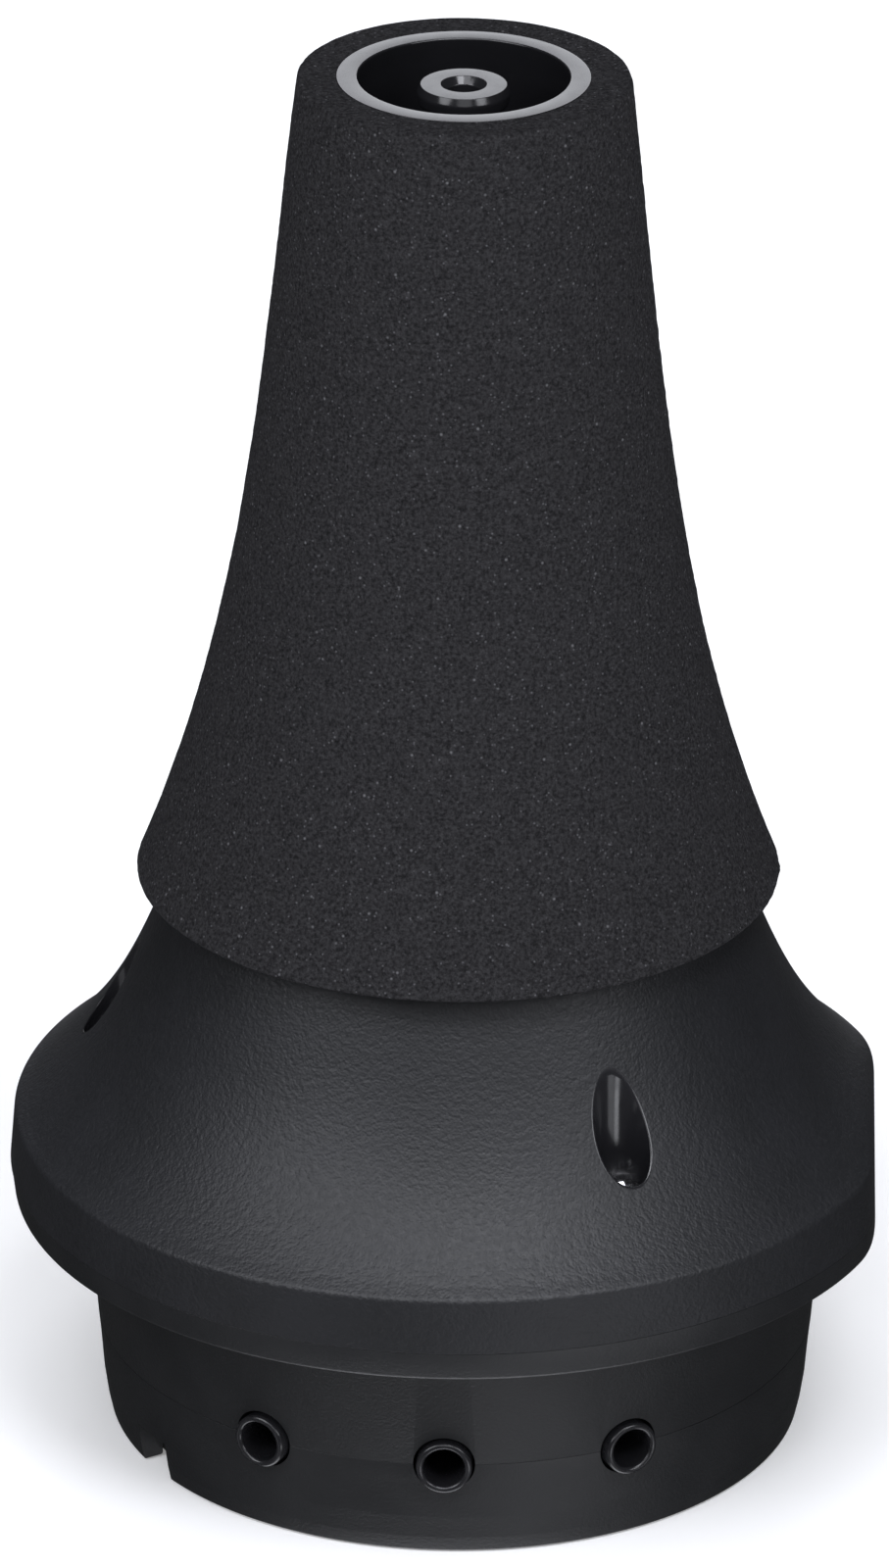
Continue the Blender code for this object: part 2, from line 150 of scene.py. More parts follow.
# Lower casing, and the lip's lower corners
CASING_BORE = 33.3
WALL_PARTING_RADIUS = 35.38
LIP_BOTTOM_Z = 23.35
LIP_ROOT_RADIUS = 36.45
LIP_BOTTOM_RADIUS = 43.5
LIP_TOP_RADIUS = 43.85
REGISTER_OUTER_RADIUS = 38.4
REGISTER_INNER_RADIUS = 36.2
CASING_REGISTER_TOP_Z = 29.5
GASKET_GROOVE_RADIUS = 37.2
GASKET_GROOVE_Z = (27.3, 28.9)

# Base ring
RING_BORE = 33.0
RING_BORE_BOTTOM_Z = 14.0
RING_STEP_BORE = 31.6
RIM_BORE = 32.1
LEDGE_BORE = 29.3
LEDGE_BOTTOM_Z = 2.8
LEDGE_TOP_Z = 5.8
NOTCH_AZIMUTH = -57.0
NOTCH_SIZE = (5.2, 13.5, 8.2)
NOTCH_INNER = 31.5

# End plate
FLANGE_TOP_Z = 2.5
PLUG_RADIUS = 29.0
PLUG_BORE = 26.8
SEAL_GROOVE_RADIUS = 28.0
SEAL_GROOVE_Z = (3.4, 4.6)

TUBE_BORE = 1.6
TUBE_RADIUS = 3.2
TUBE_TOP_RADIUS = 4.1  # the head's flat top
TUBE_MOUTH = (2.2, 0.7)  # radius and depth of the cone

ABSORBER_BORE = 6.0
SKIN_INSET = 0.25  # the absorbers' torn skin stays this far inside the CAD's

# Screws
HEAD_RADIUS = 2.38
RECESS_SIZE = (2.9, 0.8, 1.2)
RECESS_TAPER = 0.2
RECESS_DROP = 0.35  # the recess block's middle, below the head's top
RECESS_SPIN = -15.0

SHARP_ANGLE = 32  # degrees between faces that makes an edge sharp
SLEEVE_GAP = 0.04  # between the foam and the neck
SLEEVE_SEAM_AZIMUTH = 90.0


# ---------------------------------------------------------------- shapes


def cubic_through(points, z):
    """The radius at height z on the one cubic that passes through four (z, radius) points."""
    total = 0.0
    for i, (z_i, radius) in enumerate(points):
        weight = 1.0
        for j, (z_j, _) in enumerate(points):
            if i != j:
                weight *= (z - z_j) / (z_i - z_j)
        total += weight * radius
    return total


def shell_radius(z):
    if z >= FLARE_TOP_Z:
        return cubic_through(SLEEVE_OUTLINE, z) - SLEEVE_RADIAL_THICKNESS
    return cubic_through(FLARE_OUTLINE, z)


def shell_inner_radius(z):
    """One wall inside the shell, and below that the cone down to the register's bore."""
    height = max(z, WALL_BOTTOM_Z)
    slope = shell_radius(height - 0.5) - shell_radius(height + 0.5)
    radius = shell_radius(height) - SHELL_WALL * math.hypot(1.0, slope)
    share = max(WALL_BOTTOM_Z - z, 0.0) / (WALL_BOTTOM_Z - REGISTER_TOP_Z)
    return radius + (REGISTER_BORE - radius) * share


def height_where(profile, radius):
    """The height at which a narrowing profile has this radius, by bisection."""
    low, high = 30.0, FLARE_TOP_Z
    for _ in range(30):
        middle = (low + high) / 2
        if profile(middle) > radius:
            low = middle
        else:
            high = middle
    return (low + high) / 2


def steps(first, last, spacing):
    """Evenly spaced values from first to last, both included, about this far apart."""
    count = max(2, round(abs(last - first) / spacing) + 1)
    return list(np.linspace(first, last, count))


def rounded(corners, pieces=5):
    """Outline points (radius, z) from corners of (radius, z) or (radius, z, fillet radius)."""
    outline = []
    count = len(corners)
    for i, corner in enumerate(corners):
        here = Vector(corner[:2])
        if len(corner) == 2:
            outline.append(tuple(here))
            continue
        before = (Vector(corners[i - 1][:2]) - here).normalized()
        after = (Vector(corners[(i + 1) % count][:2]) - here).normalized()
        half = before.angle(after) / 2
        reach = corner[2] / math.tan(half)
        centre = here + (before + after).normalized() * (corner[2] / math.sin(half))
        start = here + before * reach - centre
        end = here + after * reach - centre
        turn = start.angle_signed(end)
        for k in range(pieces + 1):
            share = -turn * k / pieces
            spoke = Vector((
                start.x * math.cos(share) - start.y * math.sin(share),
                start.x * math.sin(share) + start.y * math.cos(share),
            ))
            outline.append(tuple(centre + spoke))
    return outline


def even_azimuths(count):
    return [360.0 * i / count for i in range(count)]


def ring_grid(outline, azimuths):
    """Points of a turned surface in millimetres, one row for each outline point."""
    angles = np.radians(azimuths)
    radii = np.array([p[0] for p in outline])[:, None]
    heights = np.array([p[1] for p in outline])[:, None] * np.ones_like(angles)
    return np.stack([radii * np.sin(angles), -radii * np.cos(angles), heights], axis=2)


def grid_faces(rows, columns, closed=True):
    """Quads of a grid that closes round the axis, and along the outline where closed is true."""
    faces = []
    for row in range(rows if closed else rows - 1):
        below = (row + 1) % rows
        for column in range(columns):
            beside = (column + 1) % columns
            corners = (
                row * columns + column,
                row * columns + beside,
                below * columns + beside,
                below * columns + column,
            )
            faces.append(corners)
    return faces


def make_object(name, points, faces, materials, face_materials=None, sharp=SHARP_ANGLE):
    """An object from points in millimetres. Faces are turned outwards and shaded smooth."""
    mesh = bpy.data.meshes.new(name)
    mesh.from_pydata([tuple(p) for p in np.asarray(points) * MM], [], faces)
    for material in materials:
        mesh.materials.append(material)
    if face_materials is not None:
        mesh.polygons.foreach_set("material_index", face_materials)
    shape = bmesh.new()
    shape.from_mesh(mesh)
    bmesh.ops.recalc_face_normals(shape, faces=shape.faces)
    shape.to_mesh(mesh)
    shape.free()
    mesh.shade_smooth()
    mesh.set_sharp_from_angle(angle=math.radians(sharp))
    obj = bpy.data.objects.new(name, mesh)
    bpy.context.scene.collection.objects.link(obj)
    return obj


def turned(name, outline, material, segments=128, change=None):
    """A solid turned about Z from a closed outline of (radius, z) points."""
    grid = ring_grid(outline, even_azimuths(segments))
    rows, columns = grid.shape[:2]
    points = grid.reshape(-1, 3)
    if change is not None:
        points = change(points)
    obj = make_object(name, points, grid_faces(rows, columns), [material])
    weld_axis(obj)
    return obj


def weld_axis(obj):
    """Joins the points that lie on the axis, and removes the faces that this flattens."""
    shape = bmesh.new()
    shape.from_mesh(obj.data)
    on_axis = [v for v in shape.verts if math.hypot(v.co.x, v.co.y) < 1e-7]
    bmesh.ops.remove_doubles(shape, verts=on_axis, dist=1e-7)
    bmesh.ops.recalc_face_normals(shape, faces=shape.faces)
    shape.to_mesh(obj.data)
    shape.free()
    obj.data.set_sharp_from_angle(angle=math.radians(SHARP_ANGLE))


def lay_radially(obj, azimuth, z):
    """Turns a piece made along +Z so that it points outwards from the axis at height z."""
    tip = Matrix.Rotation(math.radians(90), 4, "X")
    turn = Matrix.Rotation(math.radians(azimuth), 4, "Z") @ tip
    obj.data.transform(Matrix.Translation((0, 0, z * MM)) @ turn)


def polar(radius, azimuth, z):
    angle = math.radians(azimuth)
    return Vector((radius * math.sin(angle), -radius * math.cos(angle), z)) * MM


def press_flat(points):
    """Presses the skirt's +X side onto the flat's leaning plane, with a soft edge."""
    points = points.copy()
    plane = FLAT_X - math.tan(FLAT_DRAFT) * (points[:, 2] - FLAT_Z)
    outside = np.hypot(points[:, 0], points[:, 1]) > FLAT_INNER_RADIUS
    low = points[:, 2] < FLAT_TOP_Z
    gap = np.maximum(FLAT_EDGE - np.abs(points[:, 0] - plane), 0.0) / FLAT_EDGE
    pressed = np.minimum(points[:, 0], plane) - gap**2 * FLAT_EDGE / 4
    points[:, 0] = np.where(outside & low, pressed, points[:, 0])
    return points


def cut(target, tool):
    """Cuts the tool from the target for good, and removes the tool."""
    modifier = target.modifiers.new("cut", "BOOLEAN")
    modifier.operation = "DIFFERENCE"
    modifier.solver = "EXACT"
    modifier.object = tool
    bpy.context.view_layer.update()
    evaluated = target.evaluated_get(bpy.context.evaluated_depsgraph_get())
    mesh = bpy.data.meshes.new_from_object(evaluated)
    target.modifiers.clear()
    target.data = mesh
    mesh.name = target.name
    mesh.shade_smooth()
    mesh.set_sharp_from_angle(angle=math.radians(SHARP_ANGLE))
    bpy.data.objects.remove(tool)


def block(name, size, material, taper=1.0):
    """A box about the origin, whose lower end may be narrower along X. It is only cut with."""
    shape = bmesh.new()
    bmesh.ops.create_cube(shape, size=1.0)
    for vert in shape.verts:
        x, y, z = (a * b * MM for a, b in zip(vert.co, size))
        vert.co = (x if z > 0 else x * taper, y, z)
    mesh = bpy.data.meshes.new(name)
    shape.to_mesh(mesh)
    shape.free()
    mesh.materials.append(material)
    obj = bpy.data.objects.new(name, mesh)
    bpy.context.scene.collection.objects.link(obj)
    return obj


def join_meshes(target, *others):
    """Adds the other objects' meshes to the target's."""
    shape = bmesh.new()
    shape.from_mesh(target.data)
    for other in others:
        shape.from_mesh(other.data)
        bpy.data.objects.remove(other)
    shape.to_mesh(target.data)
    shape.free()
    target.data.set_sharp_from_angle(angle=math.radians(SHARP_ANGLE))


# ---------------------------------------------------------------- materials


class Finish:
    """A Principled material and short ways to add nodes to it. Patterns' sizes are millimetres."""

    def __init__(self, name, roughness, metallic=0.0, specular=0.5):
        self.material = bpy.data.materials.new(name)
        self.material.use_nodes = True
        self.tree = self.material.node_tree
        self.shader = self.tree.nodes["Principled BSDF"]
        self.shader.inputs["Roughness"].default_value = roughness
        self.shader.inputs["Metallic"].default_value = metallic
        self.shader.inputs["Specular IOR Level"].default_value = specular
        self.place = self.tree.nodes.new("ShaderNodeTexCoord").outputs["Object"]

    def link(self, source, target):
        self.tree.links.new(source, target)

    def noise(self, size, detail=3.0, roughness=0.55):
        node = self.tree.nodes.new("ShaderNodeTexNoise")
        node.inputs["Scale"].default_value = 1.0 / (size * MM)
        node.inputs["Detail"].default_value = detail
        node.inputs["Roughness"].default_value = roughness
        self.link(self.place, node.inputs["Vector"])
        return node.outputs["Fac"]

    def cells(self, size, feature="F1", output="Distance"):
        node = self.tree.nodes.new("ShaderNodeTexVoronoi")
        node.feature = feature
        node.inputs["Scale"].default_value = 1.0 / (size * MM)
        self.link(self.place, node.inputs["Vector"])
        return node.outputs[output]

    def dots(self, spacing, core, edge, share_left_out):
        """Scattered dots and a mask that keeps only some: radii in parts of the spacing."""
        dot = self.stretch(self.cells(spacing), core, edge, 1.0, 0.0)
        chance = self.cells(spacing, output="Color")
        kept = self.stretch(chance, share_left_out, share_left_out + 0.1)
        return dot, kept

    def stretch(self, source, low, high, new_low=0.0, new_high=1.0):
        """Maps a value from low..high to new_low..new_high, clamped."""
        node = self.tree.nodes.new("ShaderNodeMapRange")
        node.inputs["From Min"].default_value = low
        node.inputs["From Max"].default_value = high
        node.inputs["To Min"].default_value = new_low
        node.inputs["To Max"].default_value = new_high
        self.link(source, node.inputs["Value"])
        return node.outputs["Result"]

    def math(self, operation, first, second):
        node = self.tree.nodes.new("ShaderNodeMath")
        node.operation = operation
        for socket, value in zip(node.inputs, (first, second)):
            if isinstance(value, (int, float)):
                socket.default_value = value
            else:
                self.link(value, socket)
        return node.outputs["Value"]

    def mix(self, factor, first, second):
        """A colour between two, each an (r, g, b) or another mix."""
        node = self.tree.nodes.new("ShaderNodeMix")
        node.data_type = "RGBA"
        self.link(factor, node.inputs["Factor"])
        for socket, value in zip((node.inputs[6], node.inputs[7]), (first, second)):
            if isinstance(value, tuple):
                socket.default_value = (*value, 1.0)
            else:
                self.link(value, socket)
        return node.outputs[2]

    def colour(self, source):
        self.link(source, self.shader.inputs["Base Color"])

    def rough(self, source):
        self.link(source, self.shader.inputs["Roughness"])

    def bump(self, height, depth, strength=1.0, under=None):
        node = self.tree.nodes.new("ShaderNodeBump")
        node.inputs["Distance"].default_value = depth * MM
        node.inputs["Strength"].default_value = strength
        self.link(height, node.inputs["Height"])
        if under is not None:
            self.link(under, node.inputs["Normal"])
        self.link(node.outputs["Normal"], self.shader.inputs["Normal"])
        return node.outputs["Normal"]


def sleeve_foam():
    """Fine-cell charcoal foam: fine grain, pinholes and a few soft pale flecks of skin."""
    foam = Finish("sleeve_foam", 1.0, specular=0.0)
    mottle = foam.stretch(foam.noise(1.4, 4.0), 0.3, 0.7)
    ground = foam.mix(mottle, (0.0097, 0.0096, 0.0102), (0.0130, 0.0128, 0.0135))
    grain = foam.stretch(foam.noise(0.34, 4.0, 0.75), 0.38, 0.68)
    grained = foam.mix(grain, ground, (0.0385, 0.0380, 0.0400))
    speck = foam.math("MULTIPLY", *foam.dots(0.60, 0.08, 0.22, 0.45))
    specked = foam.mix(speck, grained, (0.080, 0.080, 0.085))
    fleck = foam.math("MULTIPLY", *foam.dots(1.25, 0.05, 0.15, 0.62))
    foam.colour(foam.mix(fleck, specked, (0.105, 0.105, 0.11)))
    pores = foam.bump(foam.noise(0.30, 4.0, 0.7), 0.13, 0.9)
    foam.bump(foam.cells(0.36), 0.07, 0.6, under=pores)
    return foam.material


def absorber_foam():
    """Coarse open-cell foam, with painted shade darkening the hollows between its cells."""
    foam = Finish("absorber_foam", 1.0, specular=0.1)
    cells = foam.cells(1.1)
    # painted shade: the colour runs from pale on the cells' raised middles to near black in the
    # low hollows between them
    depth = foam.stretch(cells, 0.1, 0.6)
    foam.colour(foam.mix(depth, (0.12, 0.12, 0.125), (0.02, 0.02, 0.022)))
    foam.bump(foam.math("SUBTRACT", 1.0, cells), 0.5)
    return foam.material


def textured_plastic():
    """Black moulded plastic with the fine crinkle of a spark-eroded mould."""
    plastic = Finish("casing_textured", 0.45, specular=0.5)
    broad = plastic.stretch(plastic.noise(9.0, 2.0), 0.35, 0.65)
    plastic.colour(plastic.mix(broad, (0.0085, 0.009, 0.0105), (0.0105, 0.011, 0.0130)))
    crinkle = plastic.noise(0.55, 2.0, 0.5)
    plastic.rough(plastic.stretch(crinkle, 0.3, 0.7, 0.46, 0.55))
    coarse = plastic.bump(crinkle, 0.08)
    plastic.bump(plastic.cells(0.25, "SMOOTH_F1"), 0.035, under=coarse)
    return plastic.material


def satin_plastic():
    """The smoother black plastic of the lip and the base."""
    plastic = Finish("casing_satin", 0.42, specular=0.5)
    broad = plastic.stretch(plastic.noise(7.0, 3.0), 0.35, 0.65)
    plastic.colour(plastic.mix(broad, (0.0085, 0.009, 0.0100), (0.0110, 0.0115, 0.0125)))
    fine = plastic.noise(0.30, 3.0, 0.6)
    plastic.rough(plastic.stretch(fine, 0.3, 0.7, 0.37, 0.47))
    plastic.bump(fine, 0.04)
    return plastic.material


def gloss_plastic(name, smooth, dull):
    """Smooth black between two roughnesses, with the faint waviness of a moulding."""
    plastic = Finish(name, (smooth + dull) / 2, specular=0.55)
    wide = plastic.noise(6.0, 2.0)
    plastic.colour(plastic.mix(wide, (0.009, 0.009, 0.010), (0.014, 0.014, 0.016)))
    plastic.rough(plastic.stretch(plastic.noise(1.3, 3.0), 0.3, 0.7, smooth, dull))
    plastic.bump(wide, 0.01)
    return plastic.material


def seal_rubber():
    rubber = Finish("seal_rubber", 0.65, specular=0.3)
    dust = rubber.stretch(rubber.noise(0.8, 4.0), 0.4, 0.7)
    rubber.colour(rubber.mix(dust, (0.010, 0.010, 0.010), (0.022, 0.022, 0.022)))
    rubber.bump(rubber.noise(0.25), 0.01)
    return rubber.material


def screw_steel():
    steel = Finish("screw_steel", 0.25, metallic=1.0)
    scuff = steel.noise(0.35, 4.0, 0.7)
    steel.colour(steel.mix(scuff, (0.58, 0.58, 0.60), (0.80, 0.80, 0.81)))
    steel.rough(steel.stretch(scuff, 0.3, 0.7, 0.16, 0.34))
    steel.bump(scuff, 0.008)
    return steel.material


FOAM = sleeve_foam()
ABSORBER = absorber_foam()
TEXTURED = textured_plastic()
SATIN = satin_plastic()
GLOSS = gloss_plastic("gloss_black", 0.15, 0.23)
VENT_GLOSS = gloss_plastic("vent_gloss_black", 0.20, 0.28)
RUBBER = seal_rubber()
STEEL = screw_steel()


# ---------------------------------------------------------------- pieces


def pocket_rings(azimuth, flare_edge, inner_edge):
    """Rings of points from a hole in the flare down a screw pocket and up round its boss.

    flare_edge and inner_edge are the edges of the holes in the shell's outer and inner surfaces,
    with the same number of points, in the same order.
    """
    middle = np.array(polar(SCREW_CIRCLE, azimuth, 0.0).xy) / MM

    def spokes_to(edge):
        spokes = edge[:, :2] - middle
        return spokes / np.linalg.norm(spokes, axis=1)[:, None]

    def on_surface(plan, profile):
        heights = [height_where(profile, math.hypot(x, y)) for x, y in plan]
        return np.column_stack([plan, heights])

    def level(spokes, radius, z):
        return np.column_stack([middle + spokes * radius, np.full(len(spokes), z)])

    def mouth(spokes, rim):
        """The pocket's drafted wall meets the flare here, a rim's width further out."""
        plan = middle + spokes * (POCKET_FLOOR_RADIUS + rim)
        for _ in range(3):
            rise = on_surface(plan, shell_radius)[:, 2] - POCKET_FLOOR_Z
            plan = middle + spokes * (POCKET_FLOOR_RADIUS + rim + rise * POCKET_DRAFT)[:, None]
        return on_surface(plan, shell_radius)

    spokes = spokes_to(flare_edge)
    shoulder = mouth(spokes, POCKET_RIM)
    corner = mouth(spokes, 0.0)
    lip = corner - np.array([0.0, 0.0, POCKET_RIM])
    foot = level(spokes, POCKET_FLOOR_RADIUS, POCKET_FLOOR_Z + 0.3)
    around = []
    for share in (0.2, 0.4, 0.6, 0.8, 1.0):
        between = flare_edge * (1 - share) + shoulder * share
        around.append(on_surface(between[:, :2], shell_radius))
    down = []
    for share in (0.2, 0.4, 0.6, 0.8, 1.0):
        rest = 1 - share
        down.append(shoulder * rest**2 + corner * 2 * share * rest + lip * share**2)
    for share in (0.25, 0.5, 0.75, 1.0):
        down.append(lip * (1 - share) + foot * share)
    down.append(level(spokes, POCKET_FLOOR_RADIUS - 0.09, POCKET_FLOOR_Z + 0.09))
    down.append(level(spokes, POCKET_FLOOR_RADIUS - 0.3, POCKET_FLOOR_Z))
    down.append(level(spokes, SHANK_HOLE_RADIUS, POCKET_FLOOR_Z))
    down.append(level(spokes, SHANK_HOLE_RADIUS, POCKET_BOSS_BOTTOM_Z))
    spokes = spokes_to(inner_edge)
    down.append(level(spokes, POCKET_BOSS_RADIUS, POCKET_BOSS_BOTTOM_Z))
    down.append(on_surface(middle + spokes * POCKET_BOSS_RADIUS, shell_inner_radius))
    return around, down


def edge_of_hole(rows, columns, width):
    """The point numbers round a hole in a grid: along the first row and back along the last."""
    edge = [rows[0] * width + c for c in columns]
    edge += [r * width + columns[-1] for r in rows[1:-1]]
    edge += [rows[-1] * width + c for c in reversed(columns)]
    edge += [r * width + columns[0] for r in reversed(rows[1:-1])]
    return edge


def bell_shell():
    """Neck, flare and skirt, with a rounded rim on each screw pocket and the soft-edged flat."""
    width = 360
    bottom = SPLIT_Z + SEAM
    mouth_z = TOP_Z - MOUTH_DEPTH
    mouth = rounded([
        (shell_inner_radius(mouth_z), mouth_z),
        (shell_inner_radius(TOP_Z), TOP_Z, 0.18),
        (shell_radius(TOP_Z), TOP_Z, 0.06),
        (shell_radius(mouth_z), mouth_z),
    ])
    neck = [(shell_radius(z), z) for z in steps(TOP_Z - 4, FLARE_TOP_Z, 4.0)]
    flare = [(shell_radius(z), z) for z in steps(58.6, 32.9, 0.5)]
    skirt = rounded([
        (shell_radius(32.6), 32.6),
        SKIRT_CORNER,
        (SKIRT_RADIUS, bottom, 0.05),
        (SKIRT_BOTTOM_INNER_RADIUS, bottom),
    ])
    register = [(REGISTER_BORE, bottom), (REGISTER_BORE, REGISTER_TOP_Z)]
    first_flare = len(mouth) + len(neck)
    low, high = POCKET_HOLE_Z
    flare_rows = [r for r, (_, z) in enumerate(flare, first_flare) if low < z < high]
    inner_heights = np.linspace(*POCKET_HOLE_INNER_Z, len(flare_rows))
    inner_hole = [(shell_inner_radius(z), z) for z in inner_heights]
    inside = [(shell_inner_radius(z), z) for z in steps(51.5, TOP_Z - 3.0, 2.5)]
    outline = mouth + neck + flare + skirt + register + inner_hole + inside

    rows = len(outline)
    points = ring_grid(outline, even_azimuths(width)).reshape(-1, 3)
    first_inner = rows - len(inside) - len(inner_hole)
    inner_rows = list(range(first_inner, first_inner + len(inner_hole)))
    gloss_rows = set(range(first_flare)) | set(range(inner_rows[-1], rows))

    removed = set()
    holes = []
    for azimuth in SCREW_AZIMUTHS:
        reach = range(-POCKET_HOLE_HALF_WIDTH, POCKET_HOLE_HALF_WIDTH + 1)
        columns = [(round(azimuth) + c) % width for c in reach]
        removed |= {(r, c) for r in flare_rows[:-1] + inner_rows[:-1] for c in columns[:-1]}
        flare_edge = edge_of_hole(flare_rows, columns, width)
        inner_edge = edge_of_hole(inner_rows[::-1], columns, width)
        holes.append((azimuth, flare_edge, inner_edge))

    faces, kinds = [], []
    for number, face in enumerate(grid_faces(rows, width)):
        row, column = divmod(number, width)
        if (row, column) not in removed:
            faces.append(face)
            kinds.append(1 if row in gloss_rows else 0)
    for azimuth, flare_edge, inner_edge in holes:
        around, down = pocket_rings(azimuth, points[flare_edge], points[inner_edge])
        numbers = [flare_edge]
        for ring in around + down:
            numbers.append(list(range(len(points), len(points) + len(ring))))
            points = np.vstack([points, ring])
        numbers.append(inner_edge)
        for r, (above, below) in enumerate(zip(numbers, numbers[1:])):
            for k in range(len(above)):
                faces.append((above[k - 1], above[k], below[k], below[k - 1]))
                kinds.append(0 if r < len(around) else 1)
    points = press_flat(points)
    return make_object("bell_shell_body", points, faces, [TEXTURED, GLOSS], kinds, sharp=40)


def sleeve_azimuths():
    """Columns one degree apart, and closer together at the seam on the +X side."""
    seam = SLEEVE_SEAM_AZIMUTH
    near = list(np.arange(seam - 4.0, seam + 4.01, 0.2))
    far = [a for a in np.arange(0.0, 360.0, 1.0) if abs(a - seam) > 4.5]
    return sorted(far + near)


def foam_sleeve():
    """The glued foam cone: soft edges, a slightly uneven skin and a butt seam on the +X side."""
    edge = 0.28
    side_low, side_high = SLEEVE_BOTTOM_Z + 0.6, SLEEVE_TOP_Z - 0.6
    side = [(cubic_through(SLEEVE_OUTLINE, z), z) for z in steps(side_low, side_high, 0.5)]
    bottom_radius = cubic_through(SLEEVE_OUTLINE, SLEEVE_BOTTOM_Z)
    top_radius = cubic_through(SLEEVE_OUTLINE, SLEEVE_TOP_Z)
    bottom = rounded([
        (bottom_radius - 1.0, SLEEVE_BOTTOM_Z),
        (bottom_radius, SLEEVE_BOTTOM_Z, edge),
        side[0],
    ])[:-1]
    top = rounded([
        side[-1],
        (top_radius, SLEEVE_TOP_Z, edge),
        (top_radius - 0.6, SLEEVE_TOP_Z),
    ])[1:]
    glued_edge = shell_radius(SLEEVE_TOP_Z) + SLEEVE_GAP
    face = [(radius, SLEEVE_TOP_Z) for radius in steps(top_radius - 0.8, glued_edge, 0.3)]
    inner_heights = steps(SLEEVE_TOP_Z - 0.5, SLEEVE_BOTTOM_Z, 4.0)
    inner = [(shell_radius(z) + SLEEVE_GAP, z) for z in inner_heights]
    outline = bottom + side + top + face + inner
    azimuths = sleeve_azimuths()
    grid = ring_grid(outline, azimuths)
    first_face = len(bottom) + len(side) + len(top)

    for row in range(first_face + len(face)):
        radius, height = outline[row]
        for column, azimuth in enumerate(azimuths):
            point = Vector(grid[row, column])
            outward = Vector((point.x, point.y, 0.0)).normalized()
            waves = 0.05 * noise.noise(point / 9.0) + 0.035 * noise.noise(point / 1.3)
            waves += 0.03 * noise.noise(point / 0.55)
            away = math.radians(azimuth - SLEEVE_SEAM_AZIMUTH) * radius
            away -= 0.12 * noise.noise(Vector((0.0, 7.0, height / 6.0)))
            ridge = 0.16 * math.exp(-((away / 1.1) ** 2))
            groove = -0.34 * math.exp(-((away / 0.16) ** 2))
            glue = 0.10 * noise.noise(Vector((3.0, 1.0, height / 0.9)))
            glue *= math.exp(-((away / 0.5) ** 2))
            if row >= first_face:
                drop = 0.6 * (waves + groove) - 0.05
                grid[row, column] = point + Vector((0.0, 0.0, drop))
            else:
                grid[row, column] = point + outward * (waves + ridge + groove + glue)
    faces = grid_faces(*grid.shape[:2])
    return make_object("foam_sleeve_skin", grid.reshape(-1, 3), faces, [FOAM], sharp=60)


def absorber(node):
    """A cut ring of coarse open-cell foam: soft edges and torn cells over its whole skin."""
    radius = half_width_of(node) - SKIN_INSET
    bore = ABSORBER_BORE + SKIN_INSET
    bottom, top = bottom_of(node) + SKIN_INSET, top_of(node) - SKIN_INSET
    fillet = 0.5
    corners = rounded([
        (bore, bottom, fillet),
        (radius, bottom, fillet),
        (radius, top, fillet),
        (bore, top, fillet),
    ], pieces=3)
    outline = []
    for here, there in zip(corners, corners[1:] + corners[:1]):
        pieces = max(1, round(math.dist(here, there) / 0.7))
        outline += [tuple(Vector(here).lerp(Vector(there), k / pieces)) for k in range(pieces)]
    grid = ring_grid(outline, even_azimuths(240))
    centre_radius, centre_z = (radius + ABSORBER_BORE) / 2, (top + bottom) / 2
    for ring in grid:
        for column, place_on_ring in enumerate(ring):
            point = Vector(place_on_ring)
            inward = Vector((point.x, point.y, 0.0)).normalized() * centre_radius - point
            inward.z = centre_z - point.z
            depth = 0.25 * (0.5 + noise.noise(point / 0.9)) + 0.15 * noise.noise(point / 4.0)
            ring[column] = point + inward.normalized() * depth
    faces = grid_faces(*grid.shape[:2])
    return make_object(f"{node}_foam", grid.reshape(-1, 3), faces, [ABSORBER], sharp=70)


def lower_casing():
    """The lip under the skirt, the wall down to the parting line and the register inside."""
    low, high = PARTING_Z + HAIRLINE / 2, SPLIT_Z
    outline = rounded([
        (WALL_PARTING_RADIUS, low, 0.05),
        (LIP_ROOT_RADIUS, LIP_BOTTOM_Z, 0.3),
        (LIP_BOTTOM_RADIUS, LIP_BOTTOM_Z, 0.45),
        (LIP_TOP_RADIUS, high, 0.05),
        (REGISTER_OUTER_RADIUS, high),
        (REGISTER_OUTER_RADIUS, GASKET_GROOVE_Z[0]),
        (GASKET_GROOVE_RADIUS, GASKET_GROOVE_Z[0]),
        (GASKET_GROOVE_RADIUS, GASKET_GROOVE_Z[1]),
        (REGISTER_OUTER_RADIUS, GASKET_GROOVE_Z[1]),
        (REGISTER_OUTER_RADIUS, CASING_REGISTER_TOP_Z),
        (REGISTER_INNER_RADIUS, CASING_REGISTER_TOP_Z),
        (REGISTER_INNER_RADIUS, high),
        (CASING_BORE, high),
        (CASING_BORE, low),
    ])
    casing = turned("lower_casing_body", outline, SATIN, 288, press_flat)
    cut_vent_holes(casing)
    return casing


